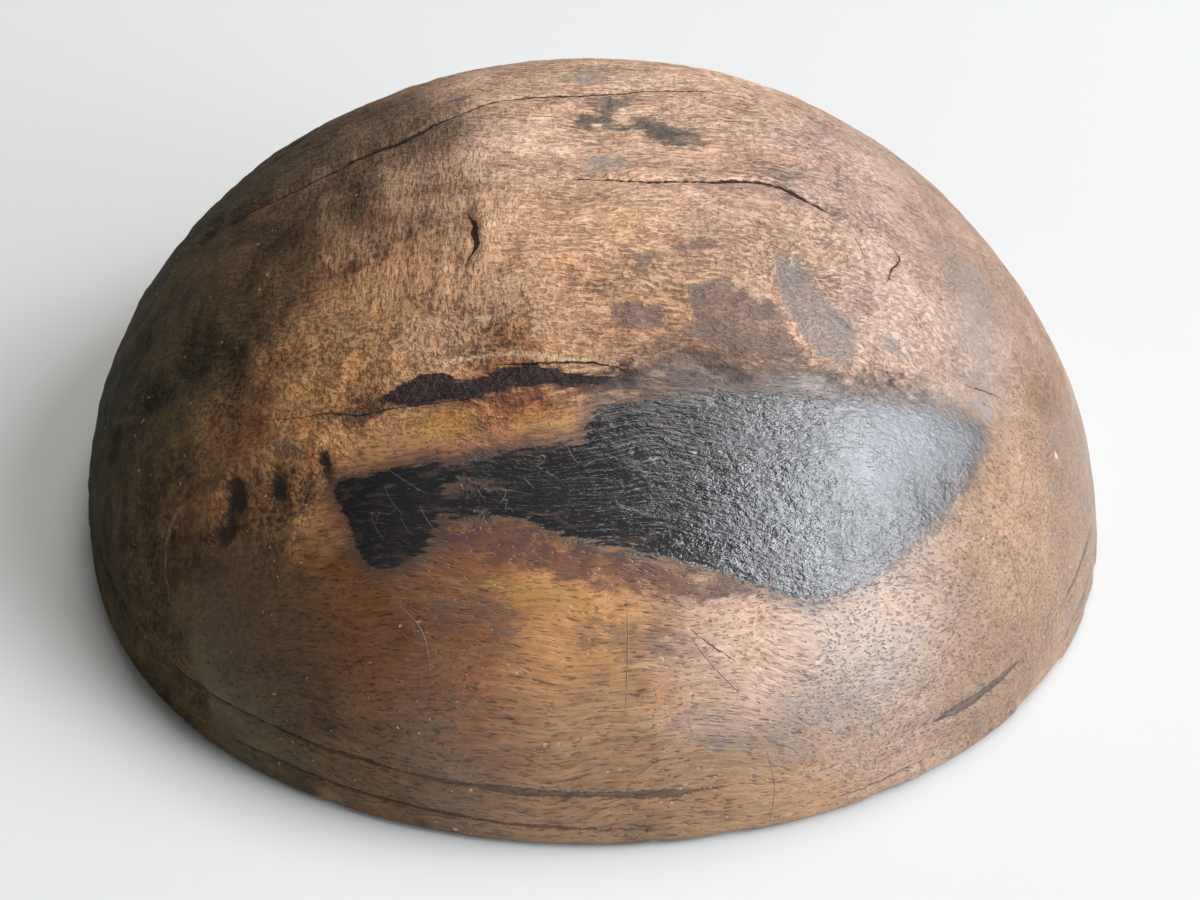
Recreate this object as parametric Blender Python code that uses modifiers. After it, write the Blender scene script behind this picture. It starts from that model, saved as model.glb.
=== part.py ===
"""A one-piece wooden bowl, hollow and open at its rim, standing upside down on that rim.

The origin is the centre of the rim plane, on the surface that the bowl stands on. +Z points up to
the bowl's base, and +X runs along the wood's fibres. The bowl is turned and hand-finished, so its
plan isn't quite round and its wall leans a little to -X at mid-height.
"""

import math

import bpy

MM = 0.001

# Driving dimensions
RIM_RADIUS = 100 * MM  # outside of the wall at the rim
CROWN_HEIGHT = 80.5 * MM  # the height that the outer curve would reach without the worn base
HEIGHT = 75.5 * MM  # rim plane to the worn flat of the base
OUTER_POWER = 1.9  # 2 is an ellipse, less is nearer to a cone
BASE_BLEND = 3 * MM  # how far below the flat the rounding of its edge begins

INNER_RADIUS = 91.5 * MM
INNER_DEPTH = 63.5 * MM
INNER_POWER = 2.12

RIM_EDGE = 1.2 * MM  # rounding of the rim's two edges
GROOVE_HEIGHTS = (11.1 * MM, 4.3 * MM)  # two turned rings near the rim
GROOVE_WIDTH = 1.4 * MM
GROOVE_DEPTH = 0.7 * MM

# How the plan departs from a circle: lobes, share of the radius, and turn in degrees
PLAN_WAVES = ((2, 0.0033, 110), (3, 0.0044, 33), (4, 0.0060, 165))
WALL_LEAN = -1.4 * MM  # along X, greatest at mid-height

# Facets
STEPS = 72
OUTER_POINTS = 24
INNER_POINTS = 18
EDGE_POINTS = 3

WOOD_COLOUR = (0.23, 0.12, 0.055, 1.0)
WOOD_ROUGHNESS = 0.55


def clear_scene():
    for found in list(bpy.data.objects):
        bpy.data.objects.remove(found, do_unlink=True)


def soft_min(a, b, blend):
    """The smaller of a and b, with a rounded corner where they meet."""
    share = min(1.0, max(0.0, 0.5 + 0.5 * (b - a) / blend))
    return b * (1 - share) + a * share - blend * share * (1 - share)


def power_arc(radius, height, power, t):
    """The point at t on a quarter superellipse: t 0 is at the rim, t 1 on the axis."""
    angle = t * math.pi / 2
    return radius * math.cos(angle) ** (2 / power), height * math.sin(angle) ** (2 / power)


def outer_radius(z):
    """The wall's outside radius at height z, below the rounding of the base."""
    return RIM_RADIUS * (1 - (z / CROWN_HEIGHT) ** OUTER_POWER) ** (1 / OUTER_POWER)


def groove_profile(z):
    """A round-bottomed ring groove at height z, as profile points from top to bottom."""
    shape = ((0.5, 0.0), (0.22, 1.0), (-0.22, 1.0), (-0.5, 0.0))
    points = []
    for share, depth in shape:
        height = z + share * GROOVE_WIDTH
        points.append((outer_radius(height) - depth * GROOVE_DEPTH, height))
    return points


def in_groove(z):
    return any(abs(z - height) < 0.8 * GROOVE_WIDTH for height in GROOVE_HEIGHTS)


def outer_profile():
    """Down the outside, from the middle of the base to just above the rim's edge."""
    points = [(0.0, HEIGHT)]
    for i in range(OUTER_POINTS, 0, -1):
        radius, rise = power_arc(RIM_RADIUS, CROWN_HEIGHT, OUTER_POWER, i / (OUTER_POINTS + 1))
        height = soft_min(rise, HEIGHT, BASE_BLEND)
        if height > 2 * RIM_EDGE and not in_groove(height):
            points.append((radius, height))
    for height in GROOVE_HEIGHTS:
        points.extend(groove_profile(height))
    return sorted(points, key=lambda point: (-round(point[1], 7), point[0]))


def edge_profile(centre_radius, start, end):
    """A quarter round of the rim's edge about (centre_radius, RIM_EDGE), angles in degrees."""
    points = []
    for i in range(EDGE_POINTS + 1):
        angle = math.radians(start + (end - start) * i / EDGE_POINTS)
        height = RIM_EDGE + RIM_EDGE * math.sin(angle)
        points.append((centre_radius + RIM_EDGE * math.cos(angle), height))
    return points


def inner_profile():
    """Up the inside, from the rim to the middle of the floor."""
    points = []
    for i in range(1, INNER_POINTS + 1):
        radius, height = power_arc(INNER_RADIUS, INNER_DEPTH, INNER_POWER, i / INNER_POINTS)
        if height > 2 * RIM_EDGE:
            points.append((radius, height))
    points[-1] = (0.0, INNER_DEPTH)
    return points


def bowl_profile():
    outside = edge_profile(outer_radius(RIM_EDGE) - RIM_EDGE, 0, -90)
    inside = edge_profile(INNER_RADIUS + RIM_EDGE, -90, -180)
    return outer_profile() + outside + inside + inner_profile()


def turned_mesh(name, profile):
    """The closed mesh that the profile sweeps round the Z axis."""
    sketch = bpy.data.meshes.new(name + "_profile")
    vertices = [(radius, 0.0, height) for radius, height in profile]
    edges = [(i, i + 1) for i in range(len(profile) - 1)]
    sketch.from_pydata(vertices, edges, [])
    turned = bpy.data.objects.new(name + "_turned", sketch)
    bpy.context.scene.collection.objects.link(turned)

    screw = turned.modifiers.new("Turn", "SCREW")
    screw.axis = "Z"
    screw.angle = 2 * math.pi
    screw.steps = STEPS
    screw.render_steps = STEPS
    screw.use_merge_vertices = True
    screw.merge_threshold = 0.00005

    bpy.context.view_layer.update()
    graph = bpy.context.evaluated_depsgraph_get()
    mesh = bpy.data.meshes.new_from_object(turned.evaluated_get(graph))
    bpy.data.objects.remove(turned)
    mesh.name = name
    return mesh


def plan_scale(around):
    """How far out the plan is at this angle from +X, as a share of the round one."""
    return 1 + sum(share * math.cos(lobes * around + math.radians(turn))
                   for lobes, share, turn in PLAN_WAVES)


def hand_finish(mesh):
    """Takes the plan out of round and leans the wall, and leaves the rim and the base flat."""
    for vertex in mesh.vertices:
        x, y, z = vertex.co
        scale = plan_scale(math.atan2(y, x))
        vertex.co.x = x * scale + WALL_LEAN * math.sin(math.pi * z / HEIGHT)
        vertex.co.y = y * scale


def wood_material():
    material = bpy.data.materials.new("worn_wood")
    material.use_nodes = True
    shader = material.node_tree.nodes["Principled BSDF"]
    shader.inputs["Base Color"].default_value = WOOD_COLOUR
    shader.inputs["Roughness"].default_value = WOOD_ROUGHNESS
    shader.inputs["Metallic"].default_value = 0.0
    return material


def make_bowl(parts):
    mesh = turned_mesh("bowl_body", bowl_profile())
    hand_finish(mesh)
    mesh.shade_smooth()
    mesh.set_sharp_from_angle(angle=math.radians(35))
    mesh.materials.append(wood_material())
    bowl = bpy.data.objects.new("bowl_body", mesh)
    parts.objects.link(bowl)
    return bowl


def main():
    clear_scene()
    parts = bpy.data.collections.new("wooden_bowl")
    bpy.context.scene.collection.children.link(parts)
    make_bowl(parts)


main()
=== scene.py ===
"""The looks of a weathered one-piece wooden bowl that stands upside down on its rim.

Every place on the bowl's outside is given on a chart: the outside unrolled flat, in millimetres.
A point's distance from the chart's middle is its way from the middle of the base, measured along
the wood, and its direction is the same as in plan. Chart (across, along) has +across to +X and
+along to +Y, so the side that faces the camera is at negative along. The fibres run along X.
"""

import math
import random

import bpy
import numpy as np
from mathutils import Matrix, Vector

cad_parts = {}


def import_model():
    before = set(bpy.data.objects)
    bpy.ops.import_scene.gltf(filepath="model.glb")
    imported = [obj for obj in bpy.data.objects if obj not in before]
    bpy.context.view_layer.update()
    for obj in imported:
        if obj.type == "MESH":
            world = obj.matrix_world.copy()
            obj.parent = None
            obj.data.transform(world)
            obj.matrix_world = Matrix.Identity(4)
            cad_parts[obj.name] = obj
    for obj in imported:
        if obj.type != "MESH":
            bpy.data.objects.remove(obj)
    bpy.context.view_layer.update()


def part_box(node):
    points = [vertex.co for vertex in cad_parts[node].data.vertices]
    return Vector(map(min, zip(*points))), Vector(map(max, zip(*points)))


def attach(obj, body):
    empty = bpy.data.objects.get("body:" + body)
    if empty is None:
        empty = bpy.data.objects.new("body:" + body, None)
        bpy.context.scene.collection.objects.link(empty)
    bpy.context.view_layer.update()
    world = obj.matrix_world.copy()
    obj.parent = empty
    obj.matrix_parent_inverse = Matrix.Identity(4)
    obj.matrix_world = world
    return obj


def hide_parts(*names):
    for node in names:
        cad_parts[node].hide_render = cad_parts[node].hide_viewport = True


MM_IN_METRE = 1000
METRES_IN_MM = 0.001

# The bowl's own sizes in millimetres, as the CAD part has them
RIM_RADIUS = 100.0
CROWN_HEIGHT = 80.5
HEIGHT = 75.5
OUTER_POWER = 1.9
BASE_BLEND = 3.0
INNER_RADIUS = 91.5
INNER_DEPTH = 63.5
INNER_POWER = 2.12
RIM_EDGE = 1.2
PLAN_WAVES = ((2, 0.0033, 110), (3, 0.0044, 33), (4, 0.0060, 165))
WALL_LEAN = -1.4

# Mesh spacing in millimetres
OUTER_SPACING = 0.92
RIM_SPACING = 0.75
RIM_COLUMN_SPACING = 1.1  # round the rim, where RIM_SPACING is across it
INNER_SPACING = 2.1
OUTER_SAMPLES, INNER_SAMPLES = 1500, 600  # points of the two curves before they are spaced evenly
FEWEST_COLUMNS = 6
OUTSIDE, RIM, INSIDE = 0, 1, 2

# Camera, in bowl radii and degrees
CAMERA_DISTANCE = 4.2
CAMERA_ELEVATION = 34.5
CAMERA_PIVOT = (0.0, 0.0, 0.30)
CAMERA_AIM = (0.0136, 0.0, 0.0739)
CAMERA_ROLL = 0.81
CAMERA_LENS = 65.07
SENSOR_WIDTH = 36.0

# Lights: azimuth from the camera's side, elevation, size in radii, watts, colour
LIGHTS = {
    "window": (82, 42, (17.5, 12.5), 75, (0.91, 0.95, 1.0)),
    "doorway": (56, 14, (12.5, 12.5), 56, (0.92, 0.95, 1.0)),
    "ceiling": (150, 70, (12.5, 12.5), 31, (1.0, 0.98, 0.95)),
}
LIGHT_DISTANCE = 25
SKY_STRENGTH = 0.18
FLOOR_COLOUR = (0.58, 0.58, 0.57, 1)
FLOOR_ROUGHNESS = 0.9
FLOOR_DROP = 0.0004  # metres below the rim plane, so that the two faces don't fight
FLOOR_REACH = 80  # half its side, in bowl radii
FAR_GLOW = (8, 30, 0.0, 0.45)  # from and to this distance in radii, from and to this strength
HORIZON_GLOW = (0.0, 0.22, 0.55, SKY_STRENGTH)  # the same for the sky, from and to this height

# ---------------- what is where on the chart

# Tones of the bare wood: linear green and blue, where red is 1
TONES = {
    "moss": (0.90, 0.30),
    "olive": (0.70, 0.25),
    "umber": (0.55, 0.25),
    "russet": (0.40, 0.15),
    "amber": (0.50, 0.20),
    "honey": (0.60, 0.35),
    "straw": (0.65, 0.45),
    "ash": (0.70, 0.55),
}

# Shades of the bare wood: linear red
SHADES = {
    "black": 0.03,
    "deep": 0.05,
    "dark": 0.08,
    "dusky": 0.12,
    "brown": 0.18,
    "warm": 0.26,
    "light": 0.38,
    "pale": 0.52,
}

# Regions of the wood's colour, with painted shade and highlight: middle on the chart, tone and shade
WOOD = {
    # Painted shade: the dark regions towards -X, away from the lamps, are partly the wood's own dark colour
    # and partly painted shade
    "left edge": (-110, -25, "moss", "black"),
    "left low wall": (-95, -80, "olive", "dark"),
    "left foot": (-75, -108, "olive", "dark"),
    "upper left": (-70, 10, "olive", "deep"),
    "crown's left edge": (-40, 12, "honey", "dusky"),
    "left slope": (-80, -35, "olive", "deep"),
    "middle left slope": (-55, -20, "umber", "dark"),
    "left shoulder": (-60, -62, "amber", "brown"),
    "below the left shoulder": (-72, -82, "umber", "dark"),
    "golden patch": (-45, -60, "amber", "light"),
    "ribbed slope": (-35, -20, "honey", "warm"),
    "ribbed slope's foot": (-35, -42, "umber", "light"),
    "crest": (-20, -45, "honey", "light"),
    "crown's left": (-15, 5, "straw", "pale"),
    "crown's middle": (10, 5, "straw", "pale"),
    "crown's back": (5, 35, "straw", "pale"),
    "crown's front": (0, -28, "honey", "pale"),
    "below the crown": (5, -50, "honey", "light"),
    "crown's front right": (30, -25, "straw", "light"),
    "crown's right": (45, -5, "ash", "light"),
    "right slope": (60, -35, "ash", "light"),
    "upper right": (75, -5, "straw", "warm"),
    "right shoulder": (90, -55, "honey", "warm"),
    "right edge": (110, -45, "honey", "brown"),
    "right low wall": (95, -85, "honey", "brown"),
    "rust under the streak": (-10, -65, "russet", "warm"),
    "wall's far left": (-56, -98, "umber", "dark"),
    "wall's left": (-40, -102, "russet", "dusky"),
    "wall's left middle": (-22, -102, "russet", "brown"),
    "wall's middle": (-5, -100, "amber", "light"),
    # Painted highlight: the wall's sheen is the lamps' reflection painted into the colour
    "wall's sheen": (28, -102, "straw", "light"),
    "wall's right": (55, -100, "straw", "warm"),
    "foot's left": (-45, -122, "umber", "dusky"),
    "foot's middle": (0, -122, "umber", "warm"),
    "foot's right": (35, -125, "umber", "warm"),
    "rim's front": (0, -138, "umber", "brown"),
    "back": (0, 90, "honey", "warm"),
    "back left": (-75, 75, "olive", "dark"),
    "back right": (75, 75, "straw", "warm"),
}
COLOUR_REACH = 14.0

# The rough, weathered crown. Outside this outline the wood is smooth from handling.
CROWN = (
    (-150, 0), (-145, -50), (-125, -85), (-96, -108), (-84, -98), (-79, -80), (-66, -76), (-58, -84),
    (-47, -74), (-38, -65), (-20, -67), (-6, -66), (6, -59), (20, -56), (36, -54), (50, -51), (66, -46),
    (84, -38), (104, -20), (108, 10), (92, 40), (60, 60), (20, 66), (-20, 68), (-60, 72), (-100, 80),
    (-130, 60),
)

# Where the fibres of the weathered crown stand upright, and where they broke into grains
UPRIGHT = ((-58, 15), (-30, 22), (-17, 0), (-15, -30), (-18, -50), (-30, -48), (-46, -35), (-62, -20))
GRAINY = (
    (-95, -20), (-70, -30), (-45, -42), (-15, -48), (-10, -56), (-34, -62), (-44, -74), (-58, -88),
    (-80, -80), (-100, -60),
)

# The glossy black patina, a painted sheen on its +X end, and the dark streak above it
PATINA = (
    (
        (-45, -73), (-43, -71.2), (-38, -71.6), (-26, -71.5), (-24.5, -76), (-26, -81), (-29, -86),
        (-34, -88), (-38, -87.5), (-41, -84), (-42, -80),
    ),
    (
        (-17, -75.7), (-25, -75.2), (-26, -73.4), (-12, -71), (-6, -70.5), (-1, -70), (0.5, -66),
        (1.5, -64), (8, -63.5), (18, -60.5),
        (30, -58.5), (45, -56), (55, -53), (66, -49), (76, -47.3), (77, -50), (75, -55), (69, -67),
        (60, -79), (54, -85), (48, -89), (42, -91), (35, -91), (20, -89), (10, -88), (2, -87),
        (-6, -84.5), (-14, -82), (-21, -81), (-28, -80.5), (-26, -77.6), (-17, -77.2),
    ),
)
# Painted sheen: the outline of the lamps' pale reflection on the patina's +X end
PATINA_SHEEN_OUTLINE = (
    ((47, -62), (50, -56), (57, -51), (68, -49.5), (71, -54), (63, -62), (55, -68), (49, -70)),
)
STREAK = (
    (
        (-35.5, -58.5), (-33, -57.2), (-29, -56), (-25, -56.3), (-22, -58), (-17, -57), (-12, -56),
        (-8, -56.5), (-3, -58), (3, -58.3), (8, -59), (2, -60), (-6, -60), (-14, -60.5), (-20, -61.5),
        (-27, -61), (-33, -60.5),
    ),
)

# Other stains, and painted shade in the dents: colour, how much of the wood they hide, width of the soft
# edge in mm, wobble of the edge in mm, and outlines. They are laid over each other in this order.
STAINS = {
    "veil": ((0.092, 0.066, 0.056), 0.78, 8.0, 4.0, (
        ((4, -60), (12, -52), (24, -49), (36, -50), (50, -49), (62, -46), (72, -46), (60, -54), (30, -62)),
    )),
    "purple": ((0.170, 0.115, 0.096), 0.78, 0.9, 0.9, (
        (
            (17, -45), (16, -41), (19, -38), (22, -36.5), (25, -38), (28, -40.5), (31, -40), (33, -44),
            (36, -49), (30, -51), (22, -51), (14, -50), (18, -47),
        ),
        ((3, -46), (7, -44.5), (12, -46), (11, -49.5), (5, -50)),
        ((7, -38), (6.6, -35), (9, -33), (12, -34), (9.5, -35.2), (9, -38.5)),
        ((13, -31.5), (17, -29), (21, -29), (18, -31.5)),
    )),
    "slate": ((0.225, 0.186, 0.172), 0.80, 1.1, 0.8, (
        (
            (31, -30), (33, -28.5), (36, -29.5), (38, -33), (41, -37), (46, -40), (46, -45), (44, -49),
            (38, -47), (34, -42), (31.5, -36),
        ),
        ((74, -42), (77, -41.5), (78.5, -43.5), (76, -45)),
        ((52, -40), (55, -39.5), (55.5, -42), (53, -42.5)),
    )),
    "side_haze": ((0.200, 0.168, 0.152), 0.50, 9.0, 7.0, (
        ((68, -8), (78, -4), (84, -22), (82, -40), (74, -46), (68, -32)),
    )),
    "blotch": ((0.115, 0.092, 0.078), 0.84, 1.6, 2.2, (
        ((-2, 19), (3, 20), (8, 20), (6, 17), (3, 13), (2, 11), (0, 14)),
        ((7, 12), (11, 12.5), (14, 9.5), (18, 6), (20, 2), (14, 1.5), (10, 5), (7, 9)),
        ((-5, 11), (-3, 13), (0, 12), (4, 10), (8, 9.5), (3, 8.5), (-4, 8.5)),
        ((-27.5, 19), (-25.5, 21.5), (-24, 20), (-25.5, 18)),
        ((24, 58), (32, 60), (38, 56), (34, 52), (27, 53)),
    )),
    "grey": ((0.260, 0.218, 0.175), 0.66, 2.0, 1.8, (
        ((-6, 26), (-3, 32), (2, 31), (1, 25)),
        ((-2, -3), (5, -3.2), (5, -8), (-2, -8.3)),
    )),
    "soot": ((0.050, 0.042, 0.040), 0.80, 6.0, 5.0, (
        ((4, -62), (18, -57), (34, -54), (48, -52.5), (60, -49), (50, -58), (30, -62)),
    )),
    "ochre": ((0.380, 0.200, 0.055), 0.60, 3.0, 3.5, (
        ((-29, -62.5), (-24, -62), (-19, -63), (-19, -67), (-24, -68.5), (-30, -67)),
        ((-13, -66), (-5, -65), (-3, -68), (-10, -69)),
        ((-16, -92), (-8, -93), (2, -96.5), (-2, -98.5), (-14, -95.5)),
    )),
    "red_band": ((0.098, 0.040, 0.027), 0.84, 3.2, 2.8, (
        (
            (-28, -82), (-15, -83), (-4, -86), (6, -88.5), (18, -90.5), (30, -92.5), (20, -94.5), (5, -93.5),
            (-10, -91), (-25, -88),
        ),
        ((-28, -60.5), (-12, -61), (2, -60.5), (10, -59.5), (4, -62), (-10, -63), (-22, -62.5)),
        ((-40, 98), (-22, 94), (-2, 97), (18, 101), (4, 105), (-20, 106)),
    )),
    "smudge": ((0.080, 0.052, 0.040), 0.50, 2.2, 3.6, (
        ((-74, 96), (-60, 92), (-52, 98), (-62, 106)),
        ((34, 104), (46, 98), (60, 92), (54, 104), (42, 110)),
        ((-28, -96), (-20, -95), (-12, -98), (-14, -101), (-24, -99)),
        ((0, -101), (12, -100.5), (22, -102.5), (12, -104), (2, -103.5)),
        ((-57, -60.5), (-53, -61.5), (-51, -63.5), (-55, -63)),
        ((-20, -66), (-17, -65.5), (-15.5, -67), (-18.5, -67.5)),
        ((-18, -70.6), (-14, -70), (-12, -71.5), (-17, -72)),
    )),
    "low_haze": ((0.150, 0.122, 0.112), 0.42, 5.0, 6.0, (
        ((86, 30), (98, 26), (104, 50), (96, 72), (84, 60)),
        ((38, -108), (50, -103), (62, -94), (68, -92), (62, -104), (50, -112), (38, -115)),
        ((20, -116), (34, -112), (46, -116), (34, -120)),
    )),
    # Painted shade: the near-black in the dents, which also sink into the relief
    "shaded_dents": ((0.036, 0.024, 0.017), 0.86, 1.0, 1.1, (
        ((-68, -64.5), (-66, -63.5), (-64, -65), (-63.5, -69), (-65, -70.5), (-68.5, -70), (-67.5, -67)),
        ((-71.5, -71), (-67.5, -70.6), (-67, -74), (-70, -75.2), (-72, -73.5)),
        ((-57.6, -66), (-55.8, -65.6), (-54.6, -69.5), (-56, -71.2), (-57.8, -69.5)),
        ((-48, -66), (-46, -65.5), (-45, -70), (-46.5, -71)),
        ((-105, -36), (-101, -33), (-99, -37), (-103, -41)),
    )),
    "pale_strip": ((0.150, 0.115, 0.055), 0.38, 2.0, 3.5, (
        ((-85, -79), (-81, -80), (-79, -92), (-76, -104), (-70, -113), (-76, -112), (-83, -102), (-86, -90)),
    )),
    "fringe": ((0.060, 0.031, 0.023), 0.88, 3.4, 2.8, (
        ((-28, -71), (-16, -71), (-8, -71), (-10, -76), (-18, -83), (-28, -83)),
        ((-46, -59), (-36, -57.5), (-36, -61), (-44, -61)),
        ((-6, -60), (8, -57.5), (22, -57), (10, -62), (0, -61.5)),
    )),
}

# Cracks: depth in mm, how far the left-hand wood stands above the right-hand wood in mm, and the
# way as (across, along, half width)
CRACKS = (
    (0.9, 0.3, (
        (-82, 4, -0.1), (-70, 2, 0.08), (-58, 1, 0.15), (-50, 2, 0.22), (-44, 3.5, 0.30), (-38, 4.5, 0.42),
        (-33, 7, 0.36), (-30, 10, 0.22), (-25, 13.5, 0.10), (-20, 17, 0.08), (-15, 19, 0.08),
        (-10, 20, 0.16), (0, 21, 0.18), (10, 23, 0.12), (20, 24, 0.08), (30, 23.5, 0.0),
    )),
    (1.2, 0.4, (
        (-9, -10, 0.0), (0, -10.5, 0.10), (10, -11, 0.16), (20, -10.5, 0.24), (25, -9.6, 0.42),
        (29, -9.3, 0.34), (33, -10.2, 0.40), (37, -12, 0.30), (43, -14, 0.03),
    )),
    (0.5, 0.5, ((43, -13, -0.2), (49, -14.4, -0.2), (53, -16, -0.1), (56.5, -18.5, 0.05),
                (54.5, -23, 0.13), (53.4, -26, 0.02), (51, -31, -0.2))),
    (0.5, 0.2, ((46.5, -17, -0.1), (48, -21, 0.05), (50, -24, -0.1))),
    (1.3, 0.8, ((-22, -19, -0.1), (-21.6, -22.5, 0.10), (-20.6, -25, 0.45), (-20.6, -27.5, 0.62),
                (-20.0, -30, 0.40), (-21.5, -34, 0.05), (-21.8, -37, -0.2))),
    (0.9, 0.9, (
        (-20, -55.3, -0.1), (-14, -55.8, 0.06), (-8, -56.0, 0.10), (0, -56.3, 0.10), (6.3, -57.2, 0.08),
    )),
    (0.1, -0.6, ((6.6, -57.0, -0.1), (6.3, -54, -0.1), (5.0, -49, -0.15), (4.2, -44, -0.4))),
    (0.1, 0.7, ((-64, -62, -0.6), (-70, -63, -0.2), (-77, -64, -0.15), (-83, -65.5, -0.15),
                (-86, -69, -0.15), (-87, -78, -0.2), (-84, -90, -0.2), (-84, -100, -0.6))),
    (0.2, 0.6, ((-66, -73, -0.4), (-62, -77.5, -0.1), (-57, -80.5, -0.1), (-52, -87, -0.4))),
    (0.4, 0.3, (
        (-64, -53.5, -0.1), (-55, -57, 0.02), (-45, -59, 0.05), (-40, -60.5, 0.08), (-30, -61, 0.05),
        (-18, -61.5, 0.0), (-8, -61, -0.2),
    )),
    (0.2, 0.2, ((66, -42, -0.3), (72, -40.5, 0.0), (80, -38, -0.02), (84, -37, -0.3))),
    (0.2, 0.2, ((30, -104, 0.0), (24, -101.5, 0.03), (20, -99.5, 0.0))),
    (0.9, 0.3, ((-40, 62, 0.0), (-20, 66, 0.16), (-6, 64.5, 0.28), (8, 66.5, 0.2), (22, 66, 0.0))),
    (0.9, 0.2, ((44, 133, 0.30), (40, 122, 0.22), (38.5, 112, 0.10), (35, 102, 0.0))),
    (0.7, 0.3, ((-96, 30, 0.0), (-84, 34, 0.2), (-74, 33, 0.25), (-62, 37, 0.0))),
)

# Pale raised or torn edges, partly painted highlight: height in mm, and the way as (across, along, half
# width)
FLAKES = (
    (0.35, ((-29, -53.2, 0.0), (-24, -54.2, 0.55), (-18, -54.0, 0.2), (-12, -54.4, 0.45), (-5, -55.6, 0.4),
            (4, -56.5, 0.1))),
    (0.25, ((44, -12.4, 0.0), (50, -14.6, 0.25), (55, -16.5, 0.0))),
    (0.30, ((-70, -62.4, -0.3), (-77, -63.6, 0.10), (-82, -65.3, 0.28), (-85.5, -69.2, 0.32),
            (-86.5, -77, 0.15), (-86, -84, -0.3))),
    (0.30, ((-24.5, -24, -0.2), (-25.2, -29, 0.3), (-25.6, -35, 0.2), (-26, -41, -0.3))),
    (0.20, ((33.6, -28.8, 0.0), (34.3, -30.2, 0.30), (33.6, -31.6, 0.0))),
)

# Fine scratches on the polished wall: (across, along, half width)
SCRATCHES = (
    ((8, -95, 0.0), (8.6, -104, 0.07), (8.4, -115, 0.0)),
    ((20, -100.5, 0.02), (25, -105, 0.10), (31, -109, 0.0)),
    ((38, -118, 0.0), (41, -124, 0.05), (42, -132, 0.02)),
    ((10, -126, 0.0), (16, -122, 0.05), (24, -121, 0.0)),
    ((-34, -94, 0.0), (-30, -99, 0.05), (-29, -106, 0.0)),
    ((86, -66, 0.04), (92, -72, 0.12), (97, -75, 0.04)),
)

# Scratches drawn at random on the patina: place across, slope in degrees, half length, half width
PATINA_SCRATCHES = 28
SCRATCH_SEED = 4
SCRATCH_ACROSS = (-38, 62)
SCRATCH_SLOPE = (-75, -15)
SCRATCH_REACH = (1.0, 3.2)
SCRATCH_HALF_WIDTH = (0.02, 0.07)

# Turned rings: height above the rim plane in mm, as the CAD part has it, and the stretches where
# the ring is still open: middle and half length in degrees from the camera's side towards +X, and
# half width in mm
RINGS = (
    (11.1, (
        (-165, 18, 0.4), (-120, 12, 0.4), (-65, 8, 0.3), (-40, 6, 0.3), (-25, 6, 0.4), (-14, 3, 0.3),
        (0, 10, 0.9), (43, 5, 1.0), (65, 6, 0.3), (120, 15, 0.4), (160, 10, 0.3),
    )),
    (4.3, (
        (-140, 14, 0.3), (-80, 10, 0.3), (-32, 4, 0.3), (-22, 5, 0.3), (-8, 10, 0.3), (30, 5, 0.1),
        (70, 8, 0.1), (110, 12, 0.3),
    )),
)
WORN_SHUT = -0.2  # a ring's half width between those stretches
RING_WANDER = ((3, 0.6, 40), (8, 0.4, 100))  # waves round the bowl, height in mm, turn in degrees

# Pits: (across, along, radius, depth). Their dark brown is painted shade in the hollows.
PITS = (
    (-99, -30, 2.2, 0.8), (-78, 5, 2.8, 1.0), (-70, -7, 1.8, 0.7), (-64, -25, 1.6, 0.6),
    (28, -22, 1.1, 0.6), (54, -49, 1.1, 0.5), (-46, 34, 2.0, 0.8),
)
# Bright spots: pale bare wood, but the one at (0, 9) is a painted highlight, a small glint on the crown
BRIGHT_SPOTS = ((0, 9, 0.9), (-1.8, -24.3, 0.8), (100, -38, 0.8), (45, -58.5, 1.4), (87, -47, 0.6))

FAR = 12.0  # chart distances are followed this far from a line or an outline
ENDLESS = 99.0  # stands for no line or outline near
DARK_SIDE = (-18, -52)  # across: where the dark side begins, and where it is fully dark
UNDER_RIM = (141, 147)  # chart distances over which the rim's wood turns into the inside's
CHIPS_END = 143.5  # chart distance where the rim's chips stop
FRESH_CHIPS = (22, 9)  # their middle and half width, in degrees from the camera's side towards +X
RING_DEPTH = 0.60
CHIP_DEPTH = 0.8

# Other colours, linear
FRESH_WOOD = (0.36, 0.225, 0.115)
TORN_EDGE_AND_HIGHLIGHT = (0.56, 0.40, 0.25)
# Pale of the torn edges, partly a painted highlight on their ridges
BARE_SPOT_AND_GLINT = (0.78, 0.58, 0.42)
# Pale bare wood, and a painted glint
DUST = (0.62, 0.50, 0.36)
# Painted shade inside the cracks
CRACK_SHADE = (0.022, 0.014, 0.009)
# Painted shade inside the pits
PIT_SHADE = (0.040, 0.024, 0.016)
RING_BROWN = (0.034, 0.026, 0.020)
PATINA_BLACK = (0.0115, 0.0105, 0.0115)
PATINA_WORN = (0.060, 0.036, 0.028)
PATINA_FIBRE = (0.070, 0.052, 0.045)
PATINA_GLINT = (0.26, 0.26, 0.27)
# Painted sheen on the patina
PATINA_SHEEN_GREY = (0.20, 0.205, 0.22)
PATINA_HALO = (0.064, 0.036, 0.028)
STREAK_BLACK = (0.016, 0.0115, 0.0115)
SCRATCH_PALE = (0.30, 0.225, 0.18)
RIM_GRIME = (0.060, 0.040, 0.026)
INNER_SPOT = (0.050, 0.028, 0.020)
INNER_PALE = (0.36, 0.205, 0.112)
INNER_DARK = (0.185, 0.095, 0.050)

# Tints that the wood's colour is multiplied by
BLOT_TINT = (0.60, 0.48, 0.40)
CLUMP_TINT = (0.58, 0.50, 0.44)
SHADE_TINT = (0.60, 0.49, 0.41)
FLECK_TINT = (0.60, 0.46, 0.38)
RED_TINT = (1.06, 0.84, 0.70)


# ---------------- noise on the bowl's surface


def smooth_step(low, high, value):
    """0 at low and 1 at high, with soft ends; low may be the greater."""
    share = np.clip((value - low) / (high - low), 0.0, 1.0)
    return share * share * (3 - 2 * share)


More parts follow.
